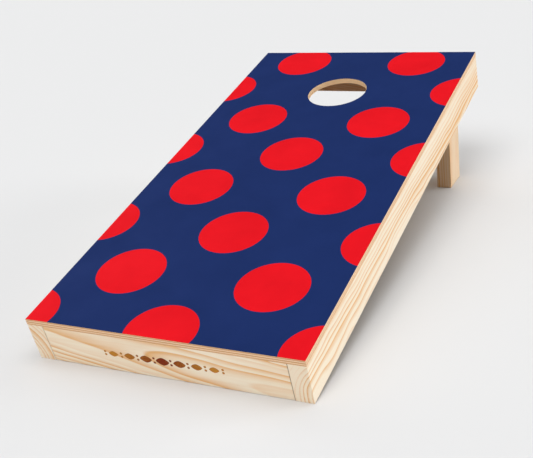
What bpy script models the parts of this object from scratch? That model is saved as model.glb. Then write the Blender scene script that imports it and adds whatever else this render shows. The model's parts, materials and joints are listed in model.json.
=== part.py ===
"""Cornhole board: a plywood deck with a vinyl graphic, on a pocket-screwed lumber frame with fold-out legs.

The deck, frame and screws are laid out in the plane of the deck, as children of the empty deck_plane:
x runs across the board from its middle, y runs up the board from its front edge, and z is the height
over the deck's top face. That empty carries the tilt. The legs stand upright in the world, and their
hanger bolts, washers and wing nuts lie along the world's x axis. All lengths are in metres.
"""

import math

import bmesh
import bpy
from mathutils import Euler, Vector

# Driving dimensions
DECK_WIDTH = 0.6096
DECK_LENGTH = 1.2192
DECK_THICKNESS = 0.0127
LUMBER_THICKNESS = 0.0381
LUMBER_WIDTH = 0.0889
TILT = math.radians(11.0)
BAG_HOLE_RADIUS = 0.0762
BAG_HOLE_FROM_BACK = 0.237
DECAL_THICKNESS = 0.0003
DECAL_INSET = 0.0005
FIT_GAP = 0.0003

# Eased edges: the lumber's milled long edges, its sawn ends, and the legs
LONG_EASE = 0.002
END_EASE = 0.0006
LEG_EASE = 0.0015
EASE_SEGMENTS = 2

# Leg pivots: 3/8 inch hanger bolts, 3 1/2 inches long, each with a washer and a wing nut
BOLT_RADIUS = 0.00476
BOLT_LENGTH = 0.0889
BOLT_IN_RAIL = 0.030
BOLT_TAPER = 0.006
BOLT_CHAMFER = 0.0008
LEG_BOLT_CLEARANCE = 0.0005
LEG_RAIL_CLEARANCE = 0.0004
LEG_DECK_CLEARANCE = 0.0004
LEG_APRON_CLEARANCE = 0.003
WASHER_OUTER_RADIUS = 0.0127
WASHER_INNER_RADIUS = 0.00556
WASHER_THICKNESS = 0.002
NUT_HEIGHT = 0.011
NUT_BASE_RADIUS = 0.0086
NUT_TOP_RADIUS = 0.0070
NUT_SPAN = 0.041
NUT_WING_TOP = 0.0185
NUT_WING_THICKNESS = 0.003
NUT_REST_TURN = math.radians(35)

# A wing's outline after its foot in the hub: the reach as a share of half the span, the height in metres
WING_OUTLINE = (
    (0.62, 0.0042),
    (0.93, 0.0093),
    (1.00, 0.0148),
    (0.84, NUT_WING_TOP),
    (0.60, 0.0159),
)
WING_FOOT = 0.0022
WING_SHOULDER = 0.0094

# Pocket screws, 2 1/2 inches long, driven at 15 degrees through the end of each cross member
POCKET_ANGLE = math.radians(15)
POCKET_RADIUS = 0.00476
POCKET_REACH = 0.062
POCKET_SEAT = 0.033
POCKET_FROM_EDGE = 0.022
POCKET_SCREW_LENGTH = 0.0635
POCKET_HEAD_RADIUS = 0.0040
POCKET_HEAD_TOP_RADIUS = 0.0032
POCKET_HEAD_HEIGHT = 0.0026

# Countersunk deck screws, 1 5/8 inches long
SCREW_RADIUS = 0.0021
SCREW_TIP = 0.005
DECK_SCREW_LENGTH = 0.0413
DECK_HEAD_RADIUS = 0.0042
DECK_HEAD_HEIGHT = 0.0024
DECK_SCREWS_PER_RAIL = 4
RAIL_SCREW_INSET = 0.060
CROSS_SCREW_X = 0.150

# Roundness
HOLE_SEGMENTS = 96
POCKET_SEGMENTS = 16
SCREW_SEGMENTS = 10
BOLT_SEGMENTS = 20
WASHER_SEGMENTS = 28
LEG_ARC_STEPS = 10
MERGE = 0.00001

# How far a cutter stands out of the face that it cuts
CUTTER_OVERRUN = 0.010
SCREW_HOLE_OVERRUN = 0.001

# Finishes: base colour, roughness, metallic
PINE = ((0.86, 0.69, 0.47), 0.60, 0.0)
PLYWOOD = ((0.68, 0.47, 0.28), 0.65, 0.0)
VINYL = ((0.014, 0.034, 0.135), 0.35, 0.0)
ZINC = ((0.66, 0.67, 0.68), 0.32, 1.0)

# Derived places, in the deck's plane unless they say otherwise
FRAME_TOP = -DECK_THICKNESS - FIT_GAP
FRAME_BOTTOM = FRAME_TOP - LUMBER_WIDTH
FRAME_MIDDLE = (FRAME_TOP + FRAME_BOTTOM) / 2
RAIL_INNER_X = DECK_WIDTH / 2 - LUMBER_THICKNESS
CROSS_END_X = RAIL_INNER_X - FIT_GAP
BAG_HOLE_Y = DECK_LENGTH - BAG_HOLE_FROM_BACK
BACK_APRON_FACE = DECK_LENGTH - LUMBER_THICKNESS
LEG_HALF_WIDTH = LUMBER_WIDTH / 2
LEG_TOP = LEG_HALF_WIDTH * (1 / math.cos(TILT) + math.tan(TILT))
LEG_CORNER_REACH = math.hypot(LEG_HALF_WIDTH, LEG_TOP)
PIVOT_Y = BACK_APRON_FACE - LEG_APRON_CLEARANCE - LEG_CORNER_REACH
PIVOT_Z = -DECK_THICKNESS - LEG_DECK_CLEARANCE - LEG_HALF_WIDTH
LEG_OUTER_X = RAIL_INNER_X - LEG_RAIL_CLEARANCE
LEG_MIDDLE_X = LEG_OUTER_X - LUMBER_THICKNESS / 2
WASHER_X = LEG_OUTER_X - LUMBER_THICKNESS - FIT_GAP
NUT_X = WASHER_X - WASHER_THICKNESS - FIT_GAP

# The deck plane's origin in the world: the rails' front ends touch the floor at z = 0, and the whole
# board is centred on y = 0
LENGTH_ON_FLOOR = DECK_LENGTH * math.cos(TILT) + (-FRAME_BOTTOM - END_EASE) * math.sin(TILT)
DECK_ORIGIN = Vector((0, -LENGTH_ON_FLOOR / 2, -FRAME_BOTTOM * math.cos(TILT) - END_EASE * math.sin(TILT)))
TILT_TURN = Euler((TILT, 0, 0)).to_matrix()
SIDES = {"left": -1, "right": 1}


def in_world(x, y, z):
    """A point of the deck's plane, in world coordinates."""
    return DECK_ORIGIN + TILT_TURN @ Vector((x, y, z))


def empty_scene():
    for obj in list(bpy.data.objects):
        bpy.data.objects.remove(obj, do_unlink=True)


def collection(name):
    made = bpy.data.collections.new(name)
    bpy.context.scene.collection.children.link(made)
    return made


def finished(mesh, finish):
    """Give a mesh its own material, made from a finish."""
    colour, roughness, metallic = finish
    material = bpy.data.materials.new(mesh.name)
    material.use_nodes = True
    shader = material.node_tree.nodes["Principled BSDF"]
    shader.inputs["Base Color"].default_value = (*colour, 1)
    shader.inputs["Roughness"].default_value = roughness
    shader.inputs["Metallic"].default_value = metallic
    mesh.materials.append(material)


def add_part(name, mesh, finish, parent=None):
    obj = bpy.data.objects.new(name, mesh)
    parts.objects.link(obj)
    obj.parent = parent
    if not mesh.materials:
        finished(mesh, finish)
    return obj


def add_cutter(name, mesh, parent=None):
    obj = bpy.data.objects.new(name, mesh)
    cutters.objects.link(obj)
    obj.parent = parent
    obj.hide_render = True
    obj.display_type = "WIRE"
    return obj


def cut(part, cutter, operation="DIFFERENCE"):
    step = part.modifiers.new(cutter.name, "BOOLEAN")
    step.operation = operation
    step.object = cutter


def ease(part, width, limit):
    """Round a part's edges: those over 30 degrees, or as much as their own bevel weights say."""
    bevel = part.modifiers.new("eased edges", "BEVEL")
    bevel.width = width
    bevel.segments = EASE_SEGMENTS
    bevel.limit_method = limit


def box_mesh(name, size, long_axis=None):
    """A box centred on its origin. With a long axis, its long edges ease fully and its ends a little."""
    bm = bmesh.new()
    bmesh.ops.create_cube(bm, size=1)
    bmesh.ops.scale(bm, vec=size, verts=bm.verts)
    if long_axis is not None:
        weight = bm.edges.layers.float.new("bevel_weight_edge")
        for edge in bm.edges:
            along = edge.verts[0].co - edge.verts[1].co
            is_long = abs(along[long_axis]) > size[long_axis] / 2
            edge[weight] = 1.0 if is_long else END_EASE / LONG_EASE
    mesh = bpy.data.meshes.new(name)
    bm.to_mesh(mesh)
    bm.free()
    return mesh


def cylinder_mesh(name, radius, top, bottom, segments):
    """A cylinder on the z axis, from top down to bottom."""
    bm = bmesh.new()
    bmesh.ops.create_cone(
        bm, cap_ends=True, segments=segments, radius1=radius, radius2=radius, depth=top - bottom
    )
    bmesh.ops.translate(bm, vec=(0, 0, (top + bottom) / 2), verts=bm.verts)
    mesh = bpy.data.meshes.new(name)
    bm.to_mesh(mesh)
    bm.free()
    return mesh


def profile_mesh(name, points, closed=False):
    """A line of edges in the xz plane, from (radius, height) points, for a Screw modifier to turn."""
    bm = bmesh.new()
    verts = [bm.verts.new((radius, 0, height)) for radius, height in points]
    for first, second in zip(verts, verts[1:]):
        bm.edges.new((first, second))
    if closed:
        bm.edges.new((verts[-1], verts[0]))
    mesh = bpy.data.meshes.new(name)
    bm.to_mesh(mesh)
    bm.free()
    return mesh


def turn(obj, segments):
    """Turn an object's profile into a solid of revolution about its z axis."""
    screw = obj.modifiers.new("turned", "SCREW")
    screw.steps = segments
    screw.render_steps = segments
    screw.use_merge_vertices = True
    screw.merge_threshold = MERGE
    screw.use_smooth_shade = True


def extruded_outline_mesh(name, points, thickness, smooth_points=False):
    """A flat outline with a thickness, centred on its own xy plane."""
    curve = bpy.data.curves.new(name, "CURVE")
    curve.dimensions = "2D"
    curve.fill_mode = "BOTH"
    curve.extrude = thickness / 2
    curve.resolution_u = 3
    spline = curve.splines.new("BEZIER" if smooth_points else "POLY")
    if smooth_points:
        spline.bezier_points.add(len(points) - 1)
        for point, (x, y) in zip(spline.bezier_points, points):
            point.co = (x, y, 0)
            point.handle_left_type = "AUTO"
            point.handle_right_type = "AUTO"
    else:
        spline.points.add(len(points) - 1)
        for point, (x, y) in zip(spline.points, points):
            point.co = (x, y, 0, 1)
    spline.use_cyclic_u = True
    guide = bpy.data.objects.new(name, curve)
    cutters.objects.link(guide)
    depsgraph = bpy.context.evaluated_depsgraph_get()
    mesh = bpy.data.meshes.new_from_object(guide.evaluated_get(depsgraph))
    bpy.data.objects.remove(guide, do_unlink=True)
    bm = bmesh.new()
    bm.from_mesh(mesh)
    bmesh.ops.remove_doubles(bm, verts=bm.verts, dist=MERGE)
    bmesh.ops.recalc_face_normals(bm, faces=bm.faces)
    bm.to_mesh(mesh)
    bm.free()
    mesh.name = name
    mesh.materials.clear()
    return mesh


def make_deck():
    """The plywood playing surface, with the bag hole."""
    size = (DECK_WIDTH, DECK_LENGTH, DECK_THICKNESS)
    deck = add_part("deck_panel", box_mesh("deck_panel", size), PLYWOOD, deck_plane)
    deck.location = (0, DECK_LENGTH / 2, -DECK_THICKNESS / 2)
    top, bottom = DECK_THICKNESS, -2 * DECK_THICKNESS
    mesh = cylinder_mesh("bag_hole_cutter", BAG_HOLE_RADIUS, top, bottom, HOLE_SEGMENTS)
    hole = add_cutter("bag_hole_cutter", mesh, deck_plane)
    hole.location = (0, BAG_HOLE_Y, 0)
    cut(deck, hole)
    return deck


def make_decal():
    """The printed vinyl sheet, trimmed just inside the deck's edges and the bag hole."""
    size = (DECK_WIDTH - 2 * DECAL_INSET, DECK_LENGTH - 2 * DECAL_INSET, DECAL_THICKNESS)
    decal = add_part("deck_decal", box_mesh("deck_decal", size), VINYL, deck_plane)
    decal.location = (0, DECK_LENGTH / 2, FIT_GAP + DECAL_THICKNESS / 2)
    radius = BAG_HOLE_RADIUS + DECAL_INSET
    mesh = cylinder_mesh("decal_hole_cutter", radius, CUTTER_OVERRUN, -CUTTER_OVERRUN, HOLE_SEGMENTS)
    hole = add_cutter("decal_hole_cutter", mesh, deck_plane)
    hole.location = (0, BAG_HOLE_Y, 0)
    cut(decal, hole)


def make_side_rail(name, side):
    size = (LUMBER_THICKNESS, DECK_LENGTH, LUMBER_WIDTH)
    rail = add_part(name, box_mesh(name, size, long_axis=1), PINE, deck_plane)
    rail.location = (side * (DECK_WIDTH - LUMBER_THICKNESS) / 2, DECK_LENGTH / 2, FRAME_MIDDLE)
    ease(rail, LONG_EASE, "WEIGHT")
    return rail


def make_cross_member(name, middle_y):
    size = (2 * CROSS_END_X, LUMBER_THICKNESS, LUMBER_WIDTH)
    member = add_part(name, box_mesh(name, size, long_axis=0), PINE, deck_plane)
    member.location = (0, middle_y, FRAME_MIDDLE)
    ease(member, LONG_EASE, "WEIGHT")
    return member


def make_deck_screw(name, x, y, deck, member):
    """A countersunk screw through the deck into a frame member, and the hole that it needs in both."""
    screw = add_part(name, deck_screw_profile, ZINC, deck_plane)
    screw.location = (x, y, -FIT_GAP)
    turn(screw, SCREW_SEGMENTS)
    hole = add_cutter(name + "_cutter", deck_screw_hole_profile, deck_plane)
    hole.location = (x, y, 0)
    turn(hole, SCREW_SEGMENTS)
    cut(deck, hole)
    cut(member, hole)


def make_pocket_screw(name, side, middle_y, opening, z, member, rail):
    """A screw from a pocket in a cross member's face, through its end, into a side rail.

    opening is 1 where the pocket opens on the member's back face and -1 where it opens on its front.
    """
    to_head = Vector((-side * math.cos(POCKET_ANGLE), opening * math.sin(POCKET_ANGLE), 0))
    seat = Vector((side * CROSS_END_X, middle_y, z)) + to_head * POCKET_SEAT
    turned = to_head.to_track_quat("Z", "Y").to_euler()
    screw = add_part(name, pocket_screw_profile, ZINC, deck_plane)
    screw.location = seat
    screw.rotation_euler = turned
    turn(screw, SCREW_SEGMENTS)
    pilot = add_cutter(name + "_pilot_cutter", pocket_pilot_mesh, deck_plane)
    pocket = add_cutter(name + "_pocket_cutter", pocket_mesh, deck_plane)
    for cutter in (pilot, pocket):
        cutter.location = seat
        cutter.rotation_euler = turned
    cut(member, pocket)
    cut(member, pilot)
    cut(rail, pilot)


def make_leg(side_name, side, pivot):
    """A leg, upright, with its origin on the pivot. Its top is cut flat against the deck's underside
    behind the pivot, where it stops the leg, and rounded about the pivot in front, where it folds."""
    corner = [(-LEG_HALF_WIDTH, -pivot.z), (LEG_HALF_WIDTH, -pivot.z), (LEG_HALF_WIDTH, LEG_TOP)]
    start = math.pi / 2 + TILT
    arc = []
    for step in range(LEG_ARC_STEPS + 1):
        angle = start + (math.pi - start) * step / LEG_ARC_STEPS
        arc.append((LEG_HALF_WIDTH * math.cos(angle), LEG_HALF_WIDTH * math.sin(angle)))
    name = side_name + "_leg"
    leg = add_part(name, extruded_outline_mesh(name, corner + arc, LUMBER_THICKNESS), PINE)
    leg.location = (side * LEG_MIDDLE_X, pivot.y, pivot.z)
    leg.rotation_euler = (math.pi / 2, 0, math.pi / 2)
    ease(leg, LEG_EASE, "ANGLE")
    radius = BOLT_RADIUS + LEG_BOLT_CLEARANCE
    mesh = cylinder_mesh(name + "_bolt_cutter", radius, LUMBER_THICKNESS, -LUMBER_THICKNESS, BOLT_SEGMENTS)
    hole = add_cutter(name + "_bolt_cutter", mesh)
    hole.location = leg.location
    hole.rotation_euler = (0, math.pi / 2, 0)
    cut(leg, hole)


def make_pivot_hardware(side_name, side, pivot, rail):
    """The hanger bolt in a rail's inner face, and the washer and wing nut on it, inside the leg.

    Each piece stands on its own z axis, which the turn lays along the bolt, towards its free end.
    """
    along_bolt = (0, -side * math.pi / 2, 0)

    bolt = add_part(side_name + "_hanger_bolt", hanger_bolt_profile, ZINC)
    bolt.location = (side * RAIL_INNER_X, pivot.y, pivot.z)
    bolt.rotation_euler = along_bolt
    turn(bolt, BOLT_SEGMENTS)
    bottom = -BOLT_IN_RAIL - FIT_GAP
    mesh = cylinder_mesh("bolt_hole", BOLT_RADIUS + FIT_GAP, CUTTER_OVERRUN, bottom, BOLT_SEGMENTS)
    hole = add_cutter(side_name + "_hanger_bolt_cutter", mesh)
    hole.location = bolt.location
    hole.rotation_euler = along_bolt
    cut(rail, hole)

    washer = add_part(side_name + "_washer", washer_profile, ZINC)
    washer.location = (side * WASHER_X, pivot.y, pivot.z)
    washer.rotation_euler = along_bolt
    turn(washer, WASHER_SEGMENTS)

    nut = add_part(side_name + "_wing_nut", nut_hub_profile, ZINC)
    nut.location = (side * NUT_X, pivot.y, pivot.z)
    nut.rotation_euler = (0, 0, NUT_REST_TURN)
    nut.rotation_euler.rotate(Euler(along_bolt))
    turn(nut, BOLT_SEGMENTS)
    for wing_name, half_turn in (("first", 0), ("second", math.pi)):
        wing = add_cutter(f"{side_name}_{wing_name}_wing_guide", wing_mesh)
        upright = Euler((math.pi / 2, 0, NUT_REST_TURN + half_turn))
        upright.rotate(Euler(along_bolt))
        wing.rotation_euler = upright
        wing.location = nut.location
        cut(nut, wing, "UNION")


empty_scene()
parts = collection("cornhole_board")
cutters = collection("cutters")
deck_plane = bpy.data.objects.new("deck_plane", None)
parts.objects.link(deck_plane)
deck_plane.location = DECK_ORIGIN
deck_plane.rotation_euler = (TILT, 0, 0)

# Profiles and meshes that several pieces share
deck_screw_profile = profile_mesh("deck_screw", [
    (0, 0),
    (DECK_HEAD_RADIUS, 0),
    (SCREW_RADIUS, -DECK_HEAD_HEIGHT),
    (SCREW_RADIUS, SCREW_TIP - DECK_SCREW_LENGTH),
    (0, -DECK_SCREW_LENGTH),
])
deck_screw_hole_profile = profile_mesh("deck_screw_hole", [
    (0, SCREW_HOLE_OVERRUN),
    (DECK_HEAD_RADIUS + 2 * FIT_GAP, SCREW_HOLE_OVERRUN),
    (DECK_HEAD_RADIUS + 2 * FIT_GAP, -FIT_GAP),
    (SCREW_RADIUS + FIT_GAP, -2 * FIT_GAP - DECK_HEAD_HEIGHT),
    (SCREW_RADIUS + FIT_GAP, -DECK_SCREW_LENGTH - 2 * FIT_GAP),
    (0, -DECK_SCREW_LENGTH - 2 * FIT_GAP),
])
pocket_screw_profile = profile_mesh("pocket_screw", [
    (0, FIT_GAP + POCKET_HEAD_HEIGHT),
    (POCKET_HEAD_TOP_RADIUS, FIT_GAP + POCKET_HEAD_HEIGHT),
    (POCKET_HEAD_RADIUS, FIT_GAP + POCKET_HEAD_HEIGHT / 2),
    (POCKET_HEAD_RADIUS, FIT_GAP),
    (SCREW_RADIUS, FIT_GAP),
    (SCREW_RADIUS, SCREW_TIP - POCKET_SCREW_LENGTH),
    (0, -POCKET_SCREW_LENGTH),
])
pocket_mesh = cylinder_mesh("pocket", POCKET_RADIUS, POCKET_REACH, 0, POCKET_SEGMENTS)
pocket_pilot_mesh = cylinder_mesh(
    "pocket_pilot", SCREW_RADIUS + FIT_GAP, FIT_GAP, -POCKET_SCREW_LENGTH - FIT_GAP, SCREW_SEGMENTS
)
bolt_end = BOLT_LENGTH - BOLT_IN_RAIL
hanger_bolt_profile = profile_mesh("hanger_bolt", [
    (0, bolt_end),
    (BOLT_RADIUS - BOLT_CHAMFER, bolt_end),
    (BOLT_RADIUS, bolt_end - BOLT_CHAMFER),
    (BOLT_RADIUS, BOLT_TAPER - BOLT_IN_RAIL),
    (0, -BOLT_IN_RAIL),
])
washer_profile = profile_mesh("washer", [
    (WASHER_OUTER_RADIUS, WASHER_THICKNESS),
    (WASHER_OUTER_RADIUS, 0),
    (WASHER_INNER_RADIUS, 0),
    (WASHER_INNER_RADIUS, WASHER_THICKNESS),
], closed=True)
nut_bore = BOLT_RADIUS + FIT_GAP
nut_hub_profile = profile_mesh("wing_nut_hub", [
    (NUT_TOP_RADIUS - BOLT_CHAMFER, NUT_HEIGHT),
    (NUT_TOP_RADIUS, NUT_HEIGHT - BOLT_CHAMFER),
    (NUT_BASE_RADIUS, 0),
    (nut_bore, 0),
    (nut_bore, NUT_HEIGHT),
], closed=True)
wing_root = (nut_bore + NUT_TOP_RADIUS) / 2
wing_mesh = extruded_outline_mesh("wing", [
    (wing_root, WING_FOOT),
    *((share * NUT_SPAN / 2, height) for share, height in WING_OUTLINE),
    (wing_root, WING_SHOULDER),
], NUT_WING_THICKNESS, smooth_points=True)

# The frame and the deck on it
deck_panel = make_deck()
make_decal()
rails = {name: make_side_rail(name + "_side_rail", side) for name, side in SIDES.items()}
front_apron = make_cross_member("front_apron", LUMBER_THICKNESS / 2)
center_brace = make_cross_member("center_brace", DECK_LENGTH / 2)
back_apron = make_cross_member("back_apron", DECK_LENGTH - LUMBER_THICKNESS / 2)

# The screws
pocket_levels = {"upper": FRAME_TOP - POCKET_FROM_EDGE, "lower": FRAME_BOTTOM + POCKET_FROM_EDGE}
for member_name, member, opening in (
    ("front", front_apron, 1),
    ("brace", center_brace, -1),
    ("back", back_apron, -1),
):
    for side_name, side in SIDES.items():
        for level, z in pocket_levels.items():
            screw_name = f"{member_name}_{side_name}_{level}_pocket_screw"
            make_pocket_screw(screw_name, side, member.location.y, opening, z, member, rails[side_name])
        screw_name = f"{member_name}_{side_name}_deck_screw"
        make_deck_screw(screw_name, side * CROSS_SCREW_X, member.location.y, deck_panel, member)
for side_name, side in SIDES.items():
    spacing = (DECK_LENGTH - 2 * RAIL_SCREW_INSET) / (DECK_SCREWS_PER_RAIL - 1)
    for number in range(DECK_SCREWS_PER_RAIL):
        screw_name = f"{side_name}_rail_deck_screw_{number + 1}"
        screw_x = side * (DECK_WIDTH - LUMBER_THICKNESS) / 2
        screw_y = RAIL_SCREW_INSET + number * spacing
        make_deck_screw(screw_name, screw_x, screw_y, deck_panel, rails[side_name])

# The legs and their pivots
leg_pivot = in_world(0, PIVOT_Y, PIVOT_Z)
for side_name, side in SIDES.items():
    make_leg(side_name, side, leg_pivot)
    make_pivot_hardware(side_name, side, leg_pivot, rails[side_name])
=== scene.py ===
import json
import math

import bmesh
import bpy
from mathutils import Matrix, Vector


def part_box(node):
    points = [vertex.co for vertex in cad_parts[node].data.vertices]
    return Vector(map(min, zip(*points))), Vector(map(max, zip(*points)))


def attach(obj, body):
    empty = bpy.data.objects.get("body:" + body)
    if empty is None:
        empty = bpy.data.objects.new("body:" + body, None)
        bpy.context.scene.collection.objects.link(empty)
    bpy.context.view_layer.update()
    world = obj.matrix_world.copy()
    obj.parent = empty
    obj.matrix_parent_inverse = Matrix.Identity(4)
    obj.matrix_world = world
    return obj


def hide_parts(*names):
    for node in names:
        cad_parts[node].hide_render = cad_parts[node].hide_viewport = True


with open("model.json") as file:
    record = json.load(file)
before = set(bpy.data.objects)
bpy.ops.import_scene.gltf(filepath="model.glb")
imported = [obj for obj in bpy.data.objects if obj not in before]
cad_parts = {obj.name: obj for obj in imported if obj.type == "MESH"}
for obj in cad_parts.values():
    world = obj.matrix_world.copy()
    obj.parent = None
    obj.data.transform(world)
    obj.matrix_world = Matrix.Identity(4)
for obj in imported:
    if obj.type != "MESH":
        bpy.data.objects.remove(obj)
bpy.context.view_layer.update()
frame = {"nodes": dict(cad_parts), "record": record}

# A cornhole board on a pale studio floor. The deck and most boards keep the CAD's shapes and are only
# finished here. The printed sheet, the front board's burned ornament, the screws, bolts, washers and
# wing nuts are made again in finer detail, in the places of their CAD nodes.
# Lengths are in metres and colours are linear.


# ---- Places, read from the frame ----

BAG_HOLE_RADIUS = 0.0762
BAG_HOLE_FROM_BACK = 0.237

mounts = {mount["name"]: mount for mount in frame["record"]["mounts"]}
deck_normal = Vector(mounts["deck_face"]["axis"]).normalized()
tilt = math.atan2(-deck_normal.y, deck_normal.z)
UP_BOARD = Vector((0, math.cos(tilt), math.sin(tilt)))
ACROSS_BOARD = Vector((1, 0, 0))
UPRIGHT = Vector((0, 0, 1))
LEVEL_BACK = Vector((0, 1, 0))


def deck_measures():
    """The deck's length, thickness and width, from the box that the tilted panel fills."""
    low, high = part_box("deck_panel")
    c, s = math.cos(tilt), math.sin(tilt)
    span_y, span_z = high.y - low.y, high.z - low.z
    length = (span_y * c - span_z * s) / (c * c - s * s)
    thickness = (span_z * c - span_y * s) / (c * c - s * s)
    return length, thickness, high.x - low.x


# The deck's own axes start in the middle of its top front edge: x across, y up the board and z out
DECK_LENGTH, DECK_THICKNESS, DECK_WIDTH = deck_measures()
deck_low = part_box("deck_panel")[0]
DECK_FRONT = Vector((0, deck_low.y, deck_low.z + DECK_THICKNESS * math.cos(tilt)))
DECK_PLANE = Matrix.Translation(DECK_FRONT) @ Matrix.Rotation(tilt, 4, "X")
BAG_HOLE_UP_BOARD = DECK_LENGTH - BAG_HOLE_FROM_BACK
RAIL_INNER_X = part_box("right_side_rail")[0].x


def box_middle(node):
    low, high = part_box(node)
    return (low + high) / 2


# ---- Shader graphs ----

class Graph:
    """A material's node tree. Most calls add a node and return its output.

    A plain number, vector or colour is set on the socket, and another node's output is linked to it.
    """

    def __init__(self, name):
        self.material = bpy.data.materials.new(name)
        self.material.use_nodes = True
        self.tree = self.material.node_tree
        self.shader = self.tree.nodes["Principled BSDF"]
        coordinates = self.tree.nodes.new("ShaderNodeTexCoord")
        self.place = coordinates.outputs["Object"]
        self.normal = coordinates.outputs["Normal"]

    def feed(self, socket, value):
        if isinstance(value, bpy.types.NodeSocket):
            self.tree.links.new(value, socket)
        else:
            socket.default_value = value

    def add(self, kind, inputs, **settings):
        node = self.tree.nodes.new("ShaderNode" + kind)
        for name, value in settings.items():
            setattr(node, name, value)
        for key, value in inputs.items():
            self.feed(node.inputs[key], value)
        return node

    def math(self, operation, a, b=0.0, c=0.0, clamp=False):
        return self.add("Math", {0: a, 1: b, 2: c}, operation=operation, use_clamp=clamp).outputs[0]

    def times(self, a, b):
        return self.math("MULTIPLY", a, b)

    def minus(self, a, b):
        return self.math("SUBTRACT", a, b)

    def swing(self, base, noise, reach, middle=0.5, clamp=False):
        """The base, carried up and down as the noise swings about its middle."""
        return self.math("MULTIPLY_ADD", self.minus(noise, middle), reach, base, clamp=clamp)

    def dot(self, vector, axis):
        inputs = {0: vector, 1: tuple(axis)}
        return self.add("VectorMath", inputs, operation="DOT_PRODUCT").outputs["Value"]

    def offset(self, vector, by):
        return self.add("VectorMath", {0: vector, 1: tuple(by)}, operation="ADD").outputs[0]

    def vector(self, x, y, z):
        return self.add("CombineXYZ", {0: x, 1: y, 2: z}).outputs[0]

    def scaled(self, values, scales):
        """Each value at its own scale, so that noise there comes out long in one direction."""
        return [self.times(value, scale) for value, scale in zip(values, scales)]

    def noise(self, vector, scale=1.0, detail=2.0, roughness=0.5):
        inputs = {"Vector": vector, "Scale": scale, "Detail": detail, "Roughness": roughness}
        return self.add("TexNoise", inputs).outputs[0]

    def random(self, value):
        return self.add("TexWhiteNoise", {"W": value}, noise_dimensions="1D").outputs["Value"]

    def rescale(self, value, from_low, from_high, to_low=0.0, to_high=1.0, smooth=False):
        inputs = {0: value, 1: from_low, 2: from_high, 3: to_low, 4: to_high}
        kind = "SMOOTHSTEP" if smooth else "LINEAR"
        return self.add("MapRange", inputs, interpolation_type=kind, clamp=True).outputs[0]

    def facing(self, axis):
        """How squarely the surface faces along the axis, either way: from 0 to 1."""
        return self.math("ABSOLUTE", self.dot(self.normal, axis))

    def mix(self, factor, a, b, blend="MIX"):
        inputs = {0: factor, 6: a, 7: b}
        return self.add("Mix", inputs, data_type="RGBA", blend_type=blend).outputs[2]

    def bump(self, height, distance, strength):
        inputs = {"Height": height, "Distance": distance, "Strength": strength}
        self.feed(self.shader.inputs["Normal"], self.add("Bump", inputs).outputs[0])

    def finish(self, colour, roughness, **sockets):
        self.feed(self.shader.inputs["Base Color"], colour)
        self.feed(self.shader.inputs["Roughness"], roughness)
        for name, value in sockets.items():
            self.feed(self.shader.inputs[name.replace("_", " ")], value)
        return self.material


# ---- Pine ----

EARLYWOOD = (0.985, 0.860, 0.680, 1)
LATEWOOD = (0.840, 0.450, 0.160, 1)
PORE = (0.62, 0.42, 0.24, 1)
PORE_STRENGTH = 0.30
END_TINT = (0.97, 0.94, 0.91, 1)
# Painted shade for faces that point to the front and lie under the deck
FRONT_FACE_SHADE = (0.74, 0.69, 0.65, 1)
# The joint lines: painted shade and dirt in the crevices where boards meet
SEAM_SHADE_AND_DIRT = (0.22, 0.14, 0.09, 1)
SEAM_DARKNESS = 0.8
SEAM_HALF_WIDTH = 0.0010
PINE_RELIEF = (0.00025, 0.5)
PINE_ROUGHNESS = (0.52, 0.70)
PINE_SPECULAR = 0.2

# How squarely a face has to face an axis before it takes that side's tint, and takes all of it
SIDE_FACING = (0.75, 0.95)

# Waves per metre of the wood's noises: along the board, across its width and through its thickness
LONG_WAVES = (2.6, 9.0, 9.0)
SHORT_WAVES = (8.0, 16.0, 16.0)
STREAKS = (5.0, 160.0, 160.0)
FIBRES = (30.0, 1300.0, 1300.0)
CLOUD_SCALE = 1.8

# A noise mostly stays within a quarter of its middle, so this many times a distance carries it that far
NOISE_SWING = 4

# The rings: the waves and the reach, in years, of their uneven spacing, the faintest ring's strength, and
# the part of a year after which the dark late wood stops
SPACING_WAVES = 60.0
SPACING_YEARS = 1.3
FAINTEST_RING = 0.20
LATEWOOD_STOP = 0.86

# How far the streaks and the clouds carry the tone
STREAK_TONE = 0.50
CLOUD_TONE = 0.55
CLOUD_MIDDLE = 0.42


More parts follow.
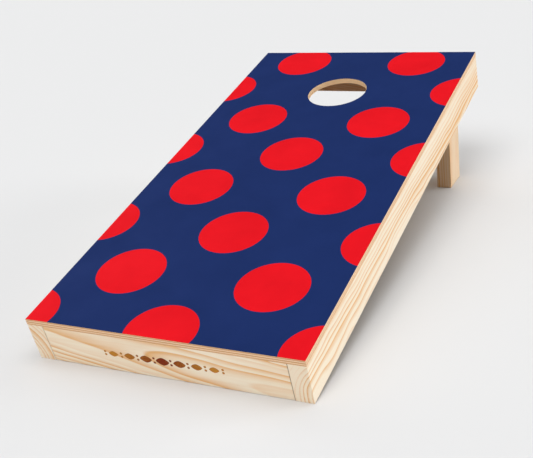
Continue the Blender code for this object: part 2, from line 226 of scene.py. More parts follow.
def pine(name, centre, along, across, through, pith, drift, ring, waver=0.0022, wiggle=0.0006,
         crisp=2.2, contrast=1.65, tone=0.0, shade_per_metre=0.0, seed=0.0, shade_stain=None, front_shade=None,
         seams=(), seam_on_ends=False):
    """Planed pine, cut from a log whose rings turn about a pith line beside the board.

    pith is the pith's place across the board's width and through its thickness. drift is how far
    the pith line strays each way per metre of length, and ring is the rings' spacing. waver and
    wiggle are how far the rings wander in long and in short waves. crisp sharpens the dark late
    wood, and contrast deepens it. tone makes the whole board darker, and shade_per_metre is painted
    shade that makes it darker per metre along it. shade_stain darkens the whole board, a darker tone
    that also serves as painted shade inside the frame, and front_shade is painted shade on its front
    face only. seams are joint lines, darkened with painted shade and dirt in the crevice: an axis, a
    place along it and half a width. A board whose long face lies in a joint shows them on its ends
    only.
    """
    g = Graph(name)
    place = g.offset(g.place, -centre)
    axes = [g.dot(place, axis) for axis in (along, across, through)]
    length, width, depth = axes
    long_waves = g.vector(*g.scaled(axes, LONG_WAVES))
    short_waves = g.vector(*g.scaled(axes, SHORT_WAVES))

    # The distance from the pith, with the log's waves
    squares = []
    for value, pith_at, stray in ((width, pith[0], drift[0]), (depth, pith[1], drift[1])):
        level = g.math("MULTIPLY_ADD", length, stray, g.minus(value, pith_at))
        squares.append(g.math("POWER", level, 2.0))
    radius = g.math("SQRT", g.math("ADD", *squares))
    wander = g.noise(g.offset(long_waves, (seed, 0, 0)), detail=1.5, roughness=0.45)
    radius = g.swing(radius, wander, NOISE_SWING * waver)
    knocks = g.noise(g.offset(short_waves, (seed, 3, 0)), detail=1.0)
    radius = g.swing(radius, knocks, NOISE_SWING * wiggle)

    # The rings, each of its own strength: the late wood deepens through the season and then stops
    spacing = g.noise(g.vector(g.times(radius, SPACING_WAVES), seed, 0.0), detail=0.0)
    years = g.math("MULTIPLY_ADD", spacing, SPACING_YEARS, g.math("DIVIDE", radius, ring))
    season = g.math("FRACT", years)
    year = g.math("ADD", g.math("FLOOR", years), seed)
    late = g.math("POWER", season, crisp)
    stop = g.rescale(season, LATEWOOD_STOP, 1.0, 1.0, 0.0, smooth=True)
    strength = g.rescale(g.random(year), 0.0, 1.0, FAINTEST_RING, 1.0)
    line = g.times(g.times(late, stop), strength)

    # The tone, with streaks along the grain and broad clouds
    streaks = g.noise(g.vector(*g.scaled(axes, STREAKS)), detail=3.0, roughness=0.6)
    fibres = g.noise(g.vector(*g.scaled(axes, FIBRES)), detail=2.0, roughness=0.65)
    clouds = g.noise(g.offset(long_waves, (seed * 2.0, 1, 5)), scale=CLOUD_SCALE, detail=2.0)
    # The tone, plus painted shade that darkens the board steadily along its length
    amount = g.math("MULTIPLY_ADD", line, contrast, g.math("MULTIPLY_ADD", length, shade_per_metre, tone))
    amount = g.swing(amount, streaks, STREAK_TONE)
    amount = g.swing(amount, clouds, CLOUD_TONE, CLOUD_MIDDLE, clamp=True)
    colour = g.mix(amount, EARLYWOOD, LATEWOOD)
    pores = g.rescale(fibres, 0.62, 0.78, 0.0, PORE_STRENGTH, smooth=True)
    colour = g.mix(pores, colour, PORE, blend="MULTIPLY")

    # The darker tone that also serves as painted shade, the front face's painted shade, the ends, and the
    # joint lines' painted shade and dirt
    # A darker tone over the whole board, which also serves as painted shade on its faces inside the frame
    if shade_stain:
        colour = g.mix(1.0, colour, shade_stain, blend="MULTIPLY")
    # Painted shade on the faces that point to the front, which lie in the deck's shade
    if front_shade:
        front = g.rescale(g.dot(g.normal, -LEVEL_BACK), *SIDE_FACING)
        colour = g.mix(front, colour, front_shade, blend="MULTIPLY")
    end = g.rescale(g.facing(along), *SIDE_FACING)
    colour = g.mix(end, colour, END_TINT, blend="MULTIPLY")
    # Joint lines, darkened with painted shade and dirt in the crevice
    for axis, at, half_width in seams:
        off_seam = g.math("ABSOLUTE", g.minus(g.dot(g.place, axis), at))
        dark = g.rescale(off_seam, 0.5 * half_width, half_width, SEAM_DARKNESS, 0.0)
        if seam_on_ends:
            dark = g.times(dark, end)
        colour = g.mix(dark, colour, SEAM_SHADE_AND_DIRT, blend="MULTIPLY")

    g.bump(g.math("MULTIPLY_ADD", line, 0.5, g.times(fibres, 0.5)), *PINE_RELIEF)
    roughness = g.rescale(streaks, 0.25, 0.75, *PINE_ROUGHNESS)
    return g.finish(colour, roughness, Specular_IOR_Level=PINE_SPECULAR)


def dress(node, material):
    """A CAD node keeps its shape and takes a finished material."""
    piece = frame["nodes"][node]
    piece.data.materials.clear()
    piece.data.materials.append(material)


# Each board: the directions of its run, width and thickness, then how its log lay
ALONG_BOARD = (UP_BOARD, deck_normal, ACROSS_BOARD)
ACROSS = (ACROSS_BOARD, deck_normal, UP_BOARD)
STANDING = (UPRIGHT, LEVEL_BACK, ACROSS_BOARD)
JOINT_LINES = [(ACROSS_BOARD, side * RAIL_INNER_X, SEAM_HALF_WIDTH) for side in (-1, 1)]
PINE_BOARDS = {
    # The right rail takes painted shade that darkens it towards the back
    "right_side_rail": (ALONG_BOARD, dict(
        pith=(-0.055, 0.090), drift=(0.045, 0.010), ring=0.0085, waver=0.0060, wiggle=0.0030,
        tone=-0.03, shade_per_metre=0.32, seed=77.7)),
    "left_side_rail": (ALONG_BOARD, dict(
        pith=(-0.050, -0.090), drift=(0.020, 0.006), ring=0.0110, waver=0.0050, wiggle=0.0020,
        tone=-0.06, contrast=1.25, seed=7.1)),
    "front_apron": (ACROSS, dict(
        pith=(0.005, 0.065), drift=(0.160, 0.030), ring=0.0066, waver=0.0050, wiggle=0.0010,
        tone=-0.02, crisp=1.5, contrast=1.30, seed=41.7)),
    # The back board is darker all over, as painted shade inside the frame, and its front face, the inner one,
    # takes more painted shade
    "back_apron": (ACROSS, dict(
        pith=(0.010, -0.065), drift=(0.150, -0.030), ring=0.0066, waver=0.0050, wiggle=0.0010,
        tone=0.12, contrast=1.30, seed=53.1,
        shade_stain=(0.76, 0.68, 0.63, 1), front_shade=(0.66, 0.58, 0.54, 1))),
    "center_brace": (ACROSS, dict(
        pith=(-0.020, 0.100), drift=(0.050, 0.020), ring=0.0090, seed=17.6)),
    # The legs' front faces stand under the deck and take painted shade
    "right_leg": (STANDING, dict(
        pith=(0.010, -0.300), drift=(0.003, 0.004), ring=0.0075, waver=0.0008,
        tone=0.26, seed=21.4, front_shade=FRONT_FACE_SHADE)),
    "left_leg": (STANDING, dict(
        pith=(0.050, 0.120), drift=(0.010, 0.004), ring=0.0075, waver=0.0020,
        tone=0.20, contrast=1.20, seed=36.0, front_shade=FRONT_FACE_SHADE)),
}


def board_pine(node):
    axes, log = PINE_BOARDS[node]
    seams = [] if node.endswith("leg") else JOINT_LINES
    on_ends = node.endswith("rail")
    return pine(node + "_pine", box_middle(node), *axes, seams=seams, seam_on_ends=on_ends, **log)


def finish_pine():
    """Every pine board but the front one, which is made again with its ornament."""
    for node in PINE_BOARDS:
        if node != "front_apron":
            dress(node, board_pine(node))


# ---- Plywood ----

PLY_LONG_GRAIN = (0.990, 0.725, 0.480, 1)
PLY_END_GRAIN = (0.725, 0.385, 0.185, 1)
PLY_GLUE = (0.500, 0.270, 0.140, 1)
VENEER = (0.820, 0.620, 0.395, 1)
VENEER_GRAIN = (0.640, 0.420, 0.225, 1)
PLY_RELIEF = (0.0003, 0.5)
PLY_ROUGHNESS = (0.60, 0.78)
PLY_SPECULAR = 0.15

# The edges: five plies that part at thin glue lines, and end grain that shows less on the long sides
PLY_COUNT = 5
PLY_TONES = 0.25
GLUE_WIDTH = 0.07
GLUE_STRENGTH = 0.8
SIDE_END_GRAIN = 0.55

# Near the bag hole the cut edge is warmer. This far from the rim the colour starts to fade and is gone
HOLE_WALL = (1.000, 0.690, 0.410, 1)
HOLE_WALL_SHARE = 0.8
HOLE_WALL_FADE = (0.002, 0.010)

# Waves per metre of each noise, up the board and across it. The fibres' third is per deck thickness
PLY_RIPPLE = (12.0, 12.0)
VENEER_SWIRL = (1.0, 4.5)
VENEER_FIBRES = (8.0, 420.0)
PLY_FIBRES = (150.0, 150.0, 16.0)

# How far the glue lines ripple, in thicknesses, and the veins: turns per swirl, sharpness and end
RIPPLE_REACH = 0.03
VEIN_TURNS = 16.0
VEIN_CRISP = 2.4
VEIN_STOP = 0.85

# How squarely a face has to face out of the deck before it shows veneer, and shows nothing else
VENEER_FACING = (0.80, 0.90)


def plywood():
    """Birch plywood: edges whose plies show long grain and end grain in turn, and rotary-cut faces."""
    g = Graph("deck_plywood")
    place = g.offset(g.place, -DECK_FRONT)
    along = g.dot(place, UP_BOARD)
    across = g.dot(place, ACROSS_BOARD)
    depth = g.times(g.dot(place, deck_normal), -1.0 / DECK_THICKNESS)

    # The plies, counted down from the top face
    ripple = g.noise(g.vector(*g.scaled((along, across), PLY_RIPPLE), 0.0), detail=2.0)
    layers = g.times(g.swing(depth, ripple, RIPPLE_REACH), PLY_COUNT)
    layer = g.math("FLOOR", layers)
    crossed = g.math("MODULO", layer, 2.0)
    sideways = g.facing(ACROSS_BOARD)
    end_grain = g.math("ABSOLUTE", g.minus(g.minus(1.0, sideways), crossed))
    end_grain = g.times(end_grain, g.rescale(sideways, 0.0, 1.0, 1.0, SIDE_END_GRAIN))
    tone = g.swing(end_grain, g.random(layer), PLY_TONES, clamp=True)
    plies = g.mix(tone, PLY_LONG_GRAIN, PLY_END_GRAIN)
    in_layer = g.math("ABSOLUTE", g.minus(g.math("FRACT", layers), 0.5))
    glue = g.rescale(in_layer, 0.5 - GLUE_WIDTH, 0.5, 0.0, GLUE_STRENGTH)
    plies = g.mix(glue, plies, PLY_GLUE)
    fibre_place = g.vector(*g.scaled((along, across, depth), PLY_FIBRES))
    fibre = g.noise(fibre_place, detail=3.0, roughness=0.6)
    edge = g.mix(g.rescale(fibre, 0.35, 0.8, 0.0, 0.35), plies, PLY_GLUE)

    # The bag hole's wall
    off_hole = g.vector(across, g.minus(along, BAG_HOLE_UP_BOARD), 0.0)
    from_hole = g.add("VectorMath", {0: off_hole}, operation="LENGTH").outputs["Value"]
    near, far = (BAG_HOLE_RADIUS + fade for fade in HOLE_WALL_FADE)
    edge = g.mix(g.rescale(from_hole, near, far, HOLE_WALL_SHARE, 0.0), edge, HOLE_WALL)

    # The faces: nested veins, as the knife peeled them, and fine fibres along the board
    swirl = g.noise(g.vector(*g.scaled((along, across), VENEER_SWIRL), 2.0), detail=2.5)
    turns = g.math("FRACT", g.times(swirl, VEIN_TURNS))
    stop = g.rescale(turns, VEIN_STOP, 1.0, 1.0, 0.0, smooth=True)
    veins = g.times(g.math("POWER", turns, VEIN_CRISP), stop)
    thin = g.noise(g.vector(*g.scaled((along, across), VENEER_FIBRES), 0.0), detail=3.0)
    figure = g.math("MULTIPLY_ADD", veins, 0.55, g.times(thin, 0.6))
    face = g.mix(g.rescale(figure, 0.2, 0.9), VENEER, VENEER_GRAIN)
    colour = g.mix(g.rescale(g.facing(deck_normal), *VENEER_FACING), edge, face)

    g.bump(g.math("MULTIPLY_ADD", thin, 0.5, fibre), *PLY_RELIEF)
    roughness = g.rescale(fibre, 0.3, 0.7, *PLY_ROUGHNESS)
    return g.finish(colour, roughness, Specular_IOR_Level=PLY_SPECULAR)


# ---- Pieces made here ----

def link(name, data):
    piece = bpy.data.objects.new(name, data)
    bpy.context.scene.collection.objects.link(piece)
    return piece


def piece_from(bm, name):
    mesh = bpy.data.meshes.new(name)
    bm.to_mesh(mesh)
    bm.free()
    return link(name, mesh)


def settled(piece):
    """The piece with its modifiers applied."""
    bpy.context.view_layer.update()
    depsgraph = bpy.context.evaluated_depsgraph_get()
    mesh = bpy.data.meshes.new_from_object(piece.evaluated_get(depsgraph))
    old = piece.data
    piece.modifiers.clear()
    piece.data = mesh
    bpy.data.meshes.remove(old)
    return piece


def boolean(piece, cutter, operation):
    step = piece.modifiers.new(cutter.name, "BOOLEAN")
    step.operation = operation
    step.object = cutter
    return settled(piece)


# ---- The printed vinyl sheet: round dots on a diagonal lattice, with none at the bag hole ----

NAVY = (0.0085, 0.0230, 0.1070, 1)
RED = (0.680, 0.0045, 0.0110, 1)
DEEPER_INK = 0.88
PEEL_RELIEF = (0.00002, 0.4)
VINYL_ROUGHNESS = (0.44, 0.56)
VINYL_SPECULAR = 0.03

SHEET_MARGIN = 0.0005
DOT_RADIUS = 0.0756
DOT_PITCH = 0.16187
FIRST_DOT_ROW = 0.0215
DOT_ROWS = 8
CIRCLE_STEPS = 128
CUTTER_DEPTH = 0.02


def vinyl(name, ink):
    """Satin printed vinyl: a faint orange peel, with the ink deeper and the finish duller in places."""
    g = Graph(name)
    peel = g.noise(g.place, scale=900.0, detail=2.0)
    worn = g.noise(g.place, scale=9.0, detail=4.0, roughness=0.6)
    deeper = tuple(DEEPER_INK * channel for channel in ink[:3]) + (1,)
    colour = g.mix(g.rescale(worn, 0.3, 0.7), ink, deeper)
    g.bump(peel, *PEEL_RELIEF)
    roughness = g.rescale(worn, 0.3, 0.7, *VINYL_ROUGHNESS)
    return g.finish(colour, roughness, Specular_IOR_Level=VINYL_SPECULAR)


def dot_places():
    """The dots' centres on the deck, row by row; odd rows stand between the even ones."""
    for row in range(DOT_ROWS):
        y = FIRST_DOT_ROW + row * DOT_PITCH
        steps = (-1, 1) if row % 2 else (-2, 0, 2)
        for step in steps:
            at_hole = step == 0 and abs(y - BAG_HOLE_UP_BOARD) < DOT_RADIUS
            if not at_hole:
                yield step * DOT_PITCH, y


def discs(name, places, radius):
    """Round bars through the sheet, square to the deck, at places on it."""
    bm = bmesh.new()
    for x, y in places:
        spot = DECK_PLANE @ Matrix.Translation((x, y, 0))
        bmesh.ops.create_cone(bm, cap_ends=True, segments=CIRCLE_STEPS, radius1=radius, radius2=radius,
                              depth=CUTTER_DEPTH, matrix=spot)
    return piece_from(bm, name)


def blank_sheet(name):
    """The uncut sheet: as thick as the CAD sheet and just inside the deck's edges."""
    heights = [deck_normal.dot(v.co - DECK_FRONT) for v in frame["nodes"]["deck_decal"].data.vertices]
    bottom, top = min(heights), max(heights)
    width, length = DECK_WIDTH - 2 * SHEET_MARGIN, DECK_LENGTH - 2 * SHEET_MARGIN
    size = Matrix.Diagonal((width, length, top - bottom, 1))
    centre = Matrix.Translation((0, DECK_LENGTH / 2, (top + bottom) / 2))
    bm = bmesh.new()
    bmesh.ops.create_cube(bm, size=1, matrix=DECK_PLANE @ centre @ size)
    return piece_from(bm, name)


def make_sheet():
    """The sheet in two pieces, one of each ink, that share the dots' outlines."""
    dots = discs("dots_cutter", dot_places(), DOT_RADIUS)
    hole = discs("hole_cutter", [(0, BAG_HOLE_UP_BOARD)], BAG_HOLE_RADIUS + SHEET_MARGIN)
    inks = (("sheet_navy_field", NAVY, "DIFFERENCE"), ("sheet_red_dots", RED, "INTERSECT"))
    for name, ink, operation in inks:
        sheet = boolean(blank_sheet(name), dots, operation)
        sheet = boolean(sheet, hole, "DIFFERENCE")
        sheet.data.materials.clear()
        sheet.data.materials.append(vinyl(name + "_vinyl", ink))
        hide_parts("deck_decal")
        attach(sheet, "frame")
    for cutter in (dots, hole):
        bpy.data.objects.remove(cutter)


# ---- The front board's burned ornament: lozenges and dots in a row ----

CHAR_DARK = (0.220, 0.030, 0.008, 1)
CHAR_GOLD = (0.560, 0.240, 0.035, 1)
CHAR_MOTTLE = 0.7
CHAR_RELIEF = (0.0003, 0.6)
CHAR_ROUGHNESS = (0.7, 0.9)
CHAR_SPECULAR = 0.1

MARK_HALF_LENGTH = 0.130
MARK_STEPS = 7
MARK_DEPTH = 0.0005
MARK_SHRINK = 0.32
LOZENGE_HALF_SIZE = (0.0147, 0.0096)
LOZENGE_BEND = 1.35
LOZENGE_POINTS = 24
MARK_DOT_HALF_SIZE = (0.0028, 0.0028)
MARK_DOT_RISE = 0.0056
MARK_DOT_POINTS = 12

# The faces that count as burned lie this far under the board's face, and inside this margin and height
BURN_LEVEL = 0.0001
BURN_MARGIN = 0.02
BURN_HALF_HEIGHT = 0.015


def scorched():
    """Wood burned by a hot iron: golden at the ornament's ends and near black-red in its middle."""
    g = Graph("scorched_pine")
    off_middle = g.math("ABSOLUTE", g.dot(g.place, ACROSS_BOARD))
    mottle = g.noise(g.place, scale=260.0, detail=3.0)
    heat = g.swing(g.math("DIVIDE", off_middle, MARK_HALF_LENGTH), mottle, CHAR_MOTTLE)
    colour = g.mix(g.rescale(heat, 0.05, 0.85), CHAR_DARK, CHAR_GOLD)
    g.bump(mottle, *CHAR_RELIEF)
    roughness = g.rescale(mottle, 0.3, 0.7, *CHAR_ROUGHNESS)
    return g.finish(colour, roughness, Specular_IOR_Level=CHAR_SPECULAR)


def prism(bm, outline, place):
    """A bar with this outline, going the ornament's depth into the face and as far out of it."""
    inner = [bm.verts.new(place @ Vector((x, y, -MARK_DEPTH))) for x, y in outline]
    outer = [bm.verts.new(place @ Vector((x, y, MARK_DEPTH))) for x, y in outline]
    bm.faces.new(list(reversed(inner)))
    bm.faces.new(outer)
    for k in range(len(outline)):
        after = (k + 1) % len(outline)
        bm.faces.new((inner[k], inner[after], outer[after], outer[k]))


def rounded_outline(half_size, count, bend=1.0):
    """An ellipse of this half size, or, with a bend above 1, a form between it and a diamond."""
    points = []
    for k in range(count):
        angle = math.tau * k / count
        x = math.copysign(abs(math.cos(angle)) ** bend, math.cos(angle))
        y = math.copysign(abs(math.sin(angle)) ** bend, math.sin(angle))
        points.append((half_size[0] * x, half_size[1] * y))
    return points


def ornament_cutter(face_place):
    """Lozenges that shrink from the middle outwards, with a pair of dots between each two and at each end."""
    bm = bmesh.new()
    pitch = MARK_HALF_LENGTH / MARK_STEPS
    for step in range(-MARK_STEPS, MARK_STEPS + 1):
        size = 1.0 - MARK_SHRINK * abs(step) / MARK_STEPS
        spot = face_place @ Matrix.Translation((step * pitch, 0, 0))
        if step % 2 == 0:
            half_size = [half * size for half in LOZENGE_HALF_SIZE]
            prism(bm, rounded_outline(half_size, LOZENGE_POINTS, LOZENGE_BEND), spot)
        else:
            for rise in (-MARK_DOT_RISE, MARK_DOT_RISE):
                dot_spot = spot @ Matrix.Translation((0, rise * size, 0))
                prism(bm, rounded_outline(MARK_DOT_HALF_SIZE, MARK_DOT_POINTS), dot_spot)
    return piece_from(bm, "ornament_cutter")


def make_front_apron():
    """The front board, as the CAD has it, with the ornament burned a little way into its front face."""
    apron = link("front_apron_burned", frame["nodes"]["front_apron"].data.copy())
    points = [v.co for v in apron.data.vertices]
    front = min(UP_BOARD.dot(p) for p in points)
    heights = [deck_normal.dot(p) for p in points]
    middle = UP_BOARD * front + deck_normal * (min(heights) + max(heights)) / 2
    facing = Matrix((ACROSS_BOARD, deck_normal, -UP_BOARD)).transposed().to_4x4()
    face_place = Matrix.Translation(middle) @ facing
    cutter = ornament_cutter(face_place)
    apron = boolean(apron, cutter, "DIFFERENCE")
    bpy.data.objects.remove(cutter)
    apron.data.materials.clear()
    apron.data.materials.append(board_pine("front_apron"))
    apron.data.materials.append(scorched())
    into_face = face_place.inverted()
    for face in apron.data.polygons:
        spot = into_face @ face.center
        cut_in = -BURN_LEVEL - MARK_DEPTH < spot.z < -BURN_LEVEL
        in_row = abs(spot.x) < MARK_HALF_LENGTH + BURN_MARGIN and abs(spot.y) < BURN_HALF_HEIGHT
        face.material_index = 1 if cut_in and in_row else 0
    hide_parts("front_apron")
    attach(apron, "frame")


# ---- Metal ----

ZINC = (0.60, 0.61, 0.62, 1)
ZINC_DULL = (0.42, 0.42, 0.41, 1)
ZINC_ROUGHNESS = 0.38
SCREW_ZINC = (0.66, 0.60, 0.42, 1)
SCREW_ZINC_DULL = (0.50, 0.44, 0.30, 1)
SCREW_ROUGHNESS = 0.42
BLOOM_ROUGHNESS = 0.35
SCRATCH_RELIEF = (0.00003, 0.35)

TURN_STEPS = 24
SHARP_ANGLE = 40

# One turn of a thread, from root to crest and back, the turns to spare at its ends, and the point's tip
THREAD_PROFILE = (0.0, 0.15, 0.85, 1.0, 0.85, 0.15)
THREAD_ROWS = len(THREAD_PROFILE)
SPARE_TURNS = 2
THREAD_TIP = 0.04

# Wood screws. The shank is a share of the length, the recess a share of the head's radius, and half the
# side of its square a share of that. The CAD head's outer face lies in a band below its top
SCREW_PITCH = 0.0026
SCREW_THREAD_DEPTH = 0.0008
SCREW_POINT = 0.007
SCREW_CORE = 0.0015
THREAD_CORE_SHARE = 0.85
SHANK_RADIUS = 0.0021
SHANK_SHARE = 0.35
FLAT_HEAD_DEPTH = 0.0030
PAN_HEAD_DEPTH = 0.0024
HEAD_BAND = 0.0002
RECESS_SHARE = 0.42
RECESS_DEPTH = 0.0021
SQUARE_SHARE = 0.8
POCKET_ANGLE = math.radians(15)

# Hanger bolts: a machine thread at one end and a wood thread at the other
BOLT_PITCH = 0.0015875
BOLT_THREAD_DEPTH = 0.0009
LAG_PITCH = 0.0034
LAG_THREAD_DEPTH = 0.0013
LAG_POINT = 0.011

WASHER_BORE_RADIUS = 0.00555
WASHER_EDGE = 0.0001
WASHER_ROUNDING = 0.0005
WASHER_STEPS = 72
NUT_VOXEL = 0.0003
NUT_SMOOTHING = 8
NUT_SHARP_ANGLE = 60


def zinc(name, bright, dull, roughness):
    """Zinc plate: cloudy grey, with a duller bloom in patches and fine scratches."""
    g = Graph(name)
    bloom = g.noise(g.place, scale=220.0, detail=4.0, roughness=0.6)
    scratches = g.noise(g.place, scale=2400.0, detail=2.0)
    colour = g.mix(g.rescale(bloom, 0.35, 0.70), bright, dull)
    g.bump(scratches, *SCRATCH_RELIEF)
    return g.finish(colour, g.swing(roughness, bloom, BLOOM_ROUGHNESS, clamp=True), Metallic=1.0)


def thread(bm, core, depth, pitch, start, end, point=0.0):
    """A threaded bar along z, whose thread is real: rows of points climb with the helix.

    point is the length over which the bar narrows to a tip at start.
    """
    first = math.floor(start / pitch) - SPARE_TURNS
    last = math.ceil(end / pitch) + SPARE_TURNS
    rows = []
    for row in range((last - first) * THREAD_ROWS):
        ring = []
        for step in range(TURN_STEPS):
            angle = math.tau * step / TURN_STEPS
            z = (first + row / THREAD_ROWS + step / TURN_STEPS) * pitch
            radius = core + depth * THREAD_PROFILE[row % THREAD_ROWS]
            if point:
                radius *= min(1.0, max(THREAD_TIP, (z - start) / point))
            ring.append(bm.verts.new((radius * math.cos(angle), radius * math.sin(angle), z)))
        rows.append(ring)
    for row in range(len(rows) - 1):
        for step in range(TURN_STEPS):
            after = (step + 1) % TURN_STEPS
            climb = THREAD_ROWS if after == 0 else 0
            if row + 1 + climb < len(rows):
                lower = rows[row][step], rows[row + climb][after]
                upper = rows[row + 1 + climb][after], rows[row + 1][step]
                bm.faces.new((*lower, *upper))
    for z, normal in ((start, (0, 0, -1)), (end, (0, 0, 1))):
        everything = bm.verts[:] + bm.edges[:] + bm.faces[:]
        cut = bmesh.ops.bisect_plane(bm, geom=everything, plane_co=(0, 0, z), plane_no=normal,
                                     clear_outer=True)
        rim = [item for item in cut["geom_cut"] if isinstance(item, bmesh.types.BMEdge)]
        bmesh.ops.edgeloop_fill(bm, edges=rim)
    loose = [v for v in bm.verts if not v.link_faces]
    bmesh.ops.delete(bm, geom=loose, context="VERTS")


def lathe(bm, profile, steps=TURN_STEPS):
    """A solid of revolution about z. The profile runs from the axis to the axis, or closes on itself."""
    rings = []
    for radius, z in profile:
        if radius == 0:
            rings.append([bm.verts.new((0, 0, z))])
            continue
        turn = [math.tau * k / steps for k in range(steps)]
        rings.append([bm.verts.new((radius * math.cos(a), radius * math.sin(a), z)) for a in turn])
    closed = profile[0][0] != 0
    following = rings[1:] + rings[:1] if closed else rings[1:]
    for low, high in zip(rings, following):
        for k in range(steps):
            after = (k + 1) % steps
            if len(low) == 1:
                bm.faces.new((low[0], high[after], high[k]))
            elif len(high) == 1:
                bm.faces.new((low[k], low[after], high[0]))
            else:
                bm.faces.new((low[k], low[after], high[after], high[k]))


def smooth_by_angle(piece, degrees):
    for face in piece.data.polygons:
        face.use_smooth = True
    piece.data.set_sharp_from_angle(angle=math.radians(degrees))


def finish_metal(bm, name, place, node, material, body):
    """A metal piece, made on its own z axis: its mesh is taken to its place, and the object stays put."""
    piece = piece_from(bm, name)
    piece.data.transform(place)
    piece.data.update()
    bm = bmesh.new()
    bm.from_mesh(piece.data)
    bmesh.ops.recalc_face_normals(bm, faces=bm.faces)
    bm.to_mesh(piece.data)
    bm.free()
    smooth_by_angle(piece, SHARP_ANGLE)
    piece.data.materials.append(material)
    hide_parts(node)
    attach(piece, body)


def screw_place(node, towards_head):
    """A screw's own place, its length and its head's radius.

    The place's origin is the head's outer end, and its z points out of the wood.
    """
    points = [v.co for v in frame["nodes"][node].data.vertices]
    axis = towards_head.normalized()
    levels = [axis.dot(p) for p in points]
    low, high = min(levels), max(levels)
    ring = [p for p, level in zip(points, levels) if level > high - HEAD_BAND]
    head = sum(ring, Vector()) / len(ring)
    radius = max((p - head - axis * axis.dot(p - head)).length for p in points)
    place = Matrix.Translation(head) @ axis.to_track_quat("Z", "Y").to_matrix().to_4x4()
    return place, high - low, radius


def under_head(head, flat_head):
    """The profile from the shank to the head's top: a countersunk cone, or a low pan."""
    if flat_head:
        return [(SHANK_RADIUS, -FLAT_HEAD_DEPTH), (head, -0.0003)]
    return [(SHANK_RADIUS, -PAN_HEAD_DEPTH), (head, -PAN_HEAD_DEPTH),
            (head, -PAN_HEAD_DEPTH * 0.55), (head * 0.80, -0.0002)]


def make_screw(node, towards_head, flat_head, material):
    """A wood screw: its head with a square driver recess, a smooth shank, then the thread and its point."""
    place, length, head = screw_place(node, towards_head)
    thread_top = -length * SHANK_SHARE
    recess = head * RECESS_SHARE
    bm = bmesh.new()
    thread(bm, SCREW_CORE * THREAD_CORE_SHARE, SCREW_THREAD_DEPTH, SCREW_PITCH,
           -length, thread_top, SCREW_POINT)
    lathe(bm, [
        (0, thread_top - 0.0006), (SCREW_CORE, thread_top - 0.0004), (SHANK_RADIUS, thread_top),
        *under_head(head, flat_head),
        (head * 0.72, 0), (recess, 0), (recess * 0.92, 0.0002 - RECESS_DEPTH), (0, -RECESS_DEPTH),
    ])
    for vert in bm.verts:
        reach = max(abs(vert.co.x), abs(vert.co.y))
        radius = math.hypot(vert.co.x, vert.co.y)
        if vert.co.z > -RECESS_DEPTH - 0.0001 and 0 < radius < recess * 1.01:
            vert.co.xy *= SQUARE_SHARE * radius / reach
    finish_metal(bm, node + "_threaded", place, node, material, "frame")


def make_screws(material):
    """The pocket screws, which lean in each member's pockets, and the deck screws, square to the deck."""
    for node in frame["nodes"]:
        if node.endswith("_pocket_screw"):
            member, side = node.split("_")[:2]
            lean = 1 if member == "front" else -1
            inward = -1 if side == "right" else 1
            sideways = ACROSS_BOARD * inward * math.cos(POCKET_ANGLE)
            make_screw(node, sideways + UP_BOARD * lean * math.sin(POCKET_ANGLE), False, material)
        elif "deck_screw" in node:
            make_screw(node, deck_normal, True, material)


def along_bolt(node, side):
    """The place of a round piece on a leg's bolt, its length and its radius.

    The place's origin is the piece's outer end, and its z points along the bolt to the board's middle.
    """
    low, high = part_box(node)
    middle = box_middle(node)
    outer_x = high.x if side > 0 else low.x
    place = Matrix.Translation((outer_x, middle.y, middle.z)) @ Matrix.Rotation(-side * math.pi / 2, 4, "Y")
    return place, high.x - low.x, (high.z - low.z) / 2


def make_bolt(name, side, material):
    """A hanger bolt: a machine thread out to its free end, and a coarse one with a point in the rail."""
    node = name + "_hanger_bolt"
    place, length, radius = along_bolt(node, side)
    in_rail = abs(place.translation.x) - RAIL_INNER_X
    machine_start = in_rail + 0.004
    bm = bmesh.new()
    thread(bm, radius - LAG_THREAD_DEPTH, LAG_THREAD_DEPTH * 0.98, LAG_PITCH,
           0.0, in_rail - 0.003, LAG_POINT)
    thread(bm, radius - BOLT_THREAD_DEPTH, BOLT_THREAD_DEPTH, BOLT_PITCH,
           machine_start, length - 0.0008)
    lathe(bm, [
        (0, in_rail - 0.0035), (radius * 0.80, in_rail - 0.0032), (radius * 0.97, in_rail - 0.002),
        (radius * 0.97, machine_start), (radius * 0.8, machine_start + 0.001), (0, machine_start + 0.001),
    ])
    lathe(bm, [
        (0, length - 0.0012), (radius * 0.86, length - 0.0012), (radius * 0.86, length - 0.0007),
        (radius * 0.72, length), (0, length),
    ])
    finish_metal(bm, node + "_threaded", place, node, material, "frame")


def make_washer(name, side, material):
    """A stamped flat washer: rounded over on one face and nearly sharp on the other."""
    node = name + "_washer"
    place, thickness, outer = along_bolt(node, side)
    inner, edge, bend = WASHER_BORE_RADIUS, WASHER_EDGE, WASHER_ROUNDING
    bm = bmesh.new()
    lathe(bm, [
        (inner, edge), (inner + edge, 0), (outer - edge, 0), (outer, edge),
        (outer, thickness - bend), (outer - 0.3 * bend, thickness - 0.3 * bend), (outer - bend, thickness),
        (inner + bend, thickness), (inner + 0.3 * bend, thickness - 0.3 * bend), (inner, thickness - bend),
    ], WASHER_STEPS)
    finish_metal(bm, node + "_stamped", place, node, material, node)


def make_wing_nut(name, material):
    """A forged wing nut: the CAD's hub and wings, melted together and rounded by a fine remesh."""
    node = name + "_wing_nut"
    nut = link(node + "_forged", frame["nodes"][node].data.copy())
    nut.data.materials.clear()
    remesh = nut.modifiers.new("melt", "REMESH")
    remesh.mode = "VOXEL"
    remesh.voxel_size = NUT_VOXEL
    soften = nut.modifiers.new("soften", "SMOOTH")
    soften.iterations = NUT_SMOOTHING
    nut = settled(nut)
    smooth_by_angle(nut, NUT_SHARP_ANGLE)
    nut.data.materials.append(material)
    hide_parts(node)
    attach(nut, node)


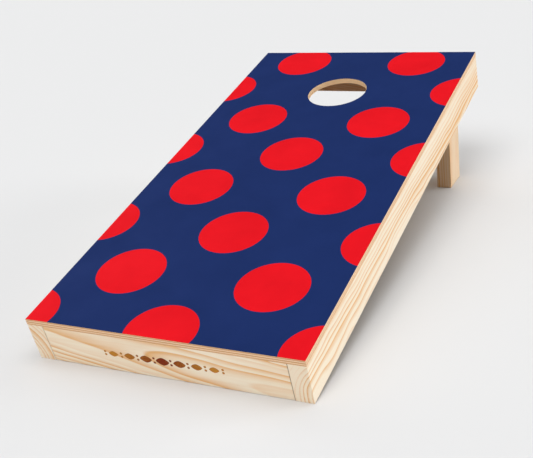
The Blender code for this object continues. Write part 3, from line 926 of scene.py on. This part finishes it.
def make_hardware():
    plate = zinc("zinc_plate", ZINC, ZINC_DULL, ZINC_ROUGHNESS)
    make_screws(zinc("screw_zinc", SCREW_ZINC, SCREW_ZINC_DULL, SCREW_ROUGHNESS))
    for name, side in (("left", -1), ("right", 1)):
        make_bolt(name, side, plate)
        make_washer(name, side, plate)
        make_wing_nut(name, plate)


# ---- Stage, lights and camera ----

CAMERA_PLACE = (0.9293, -1.8518, 0.9485)
CAMERA_AZIMUTH = math.radians(28.24)
CAMERA_ELEVATION = math.radians(23.17)
CAMERA_ROLL = math.radians(-7.05)
CAMERA_LENS = 63.75

FLOOR_SIZE = 60
FLOOR_COLOUR = (0.643, 0.645, 0.649, 1)
FLOOR_ROUGHNESS = 0.9

# The sky is dark below the first height of its direction and full above the second. The camera sees
# an even backdrop instead
SKY_STRENGTH = 1.05
SKY_DARK_BELOW = 0.45
SKY_BRIGHT_ABOVE = 0.80
BACKDROP = 0.84

# Broad suns, each by its direction, height and strength
SUN_SPREAD = math.radians(30)
SUNS = {
    "front_sun": (math.radians(270), math.radians(50), 1.53),
    "overhead_sun": (math.radians(0), math.radians(72), 0.56),
    "right_sun": (math.radians(30), math.radians(12), 1.32),
    "left_sun": (math.radians(150), math.radians(30), 0.30),
}


def make_stage():
    bpy.ops.mesh.primitive_plane_add(size=FLOOR_SIZE)
    floor = bpy.context.object
    floor.name = "floor"
    paint = Graph("floor_paint").finish(FLOOR_COLOUR, FLOOR_ROUGHNESS, Specular_IOR_Level=0.0)
    floor.data.materials.append(paint)


def make_sun(name, direction, height, strength):
    lamp = bpy.data.lights.new(name, "SUN")
    lamp.energy = strength
    lamp.angle = SUN_SPREAD
    sun = link(name, lamp)
    level = math.cos(height)
    towards = Vector((level * math.cos(direction), level * math.sin(direction), math.sin(height)))
    sun.rotation_mode = "QUATERNION"
    sun.rotation_quaternion = towards.to_track_quat("Z", "Y")


def make_sky():
    """An overcast sky: white overhead and dark towards the horizon, but pale all over to the camera."""
    world = bpy.data.worlds.new("sky")
    world.use_nodes = True
    tree = world.node_tree
    background = tree.nodes["Background"]
    background.inputs["Color"].default_value = (1, 1, 1, 1)
    height = tree.nodes.new("ShaderNodeSeparateXYZ")
    fade = tree.nodes.new("ShaderNodeMapRange")
    fade.interpolation_type = "SMOOTHSTEP"
    fade.inputs["From Min"].default_value = SKY_DARK_BELOW
    fade.inputs["From Max"].default_value = SKY_BRIGHT_ABOVE
    fade.inputs["To Max"].default_value = SKY_STRENGTH
    seen = tree.nodes.new("ShaderNodeMix")
    seen.inputs["B"].default_value = BACKDROP
    tree.links.new(tree.nodes.new("ShaderNodeTexCoord").outputs["Generated"], height.inputs[0])
    tree.links.new(height.outputs["Z"], fade.inputs["Value"])
    tree.links.new(tree.nodes.new("ShaderNodeLightPath").outputs["Is Camera Ray"], seen.inputs["Factor"])
    tree.links.new(fade.outputs[0], seen.inputs["A"])
    tree.links.new(seen.outputs[0], background.inputs["Strength"])
    bpy.context.scene.world = world


def make_lights():
    make_sky()
    for name, placing in SUNS.items():
        make_sun(name, *placing)
    bpy.context.scene.view_settings.view_transform = "Standard"


def make_camera():
    lens = bpy.data.cameras.new("camera")
    lens.lens = CAMERA_LENS
    camera = link("camera", lens)
    turn = Matrix.Rotation(CAMERA_AZIMUTH, 4, "Z") @ Matrix.Rotation(math.pi / 2 - CAMERA_ELEVATION, 4, "X")
    camera.matrix_world = Matrix.Translation(CAMERA_PLACE) @ turn @ Matrix.Rotation(CAMERA_ROLL, 4, "Z")
    bpy.context.scene.camera = camera


make_camera()
make_lights()
make_stage()
finish_pine()
dress("deck_panel", plywood())
make_sheet()
make_front_apron()
make_hardware()
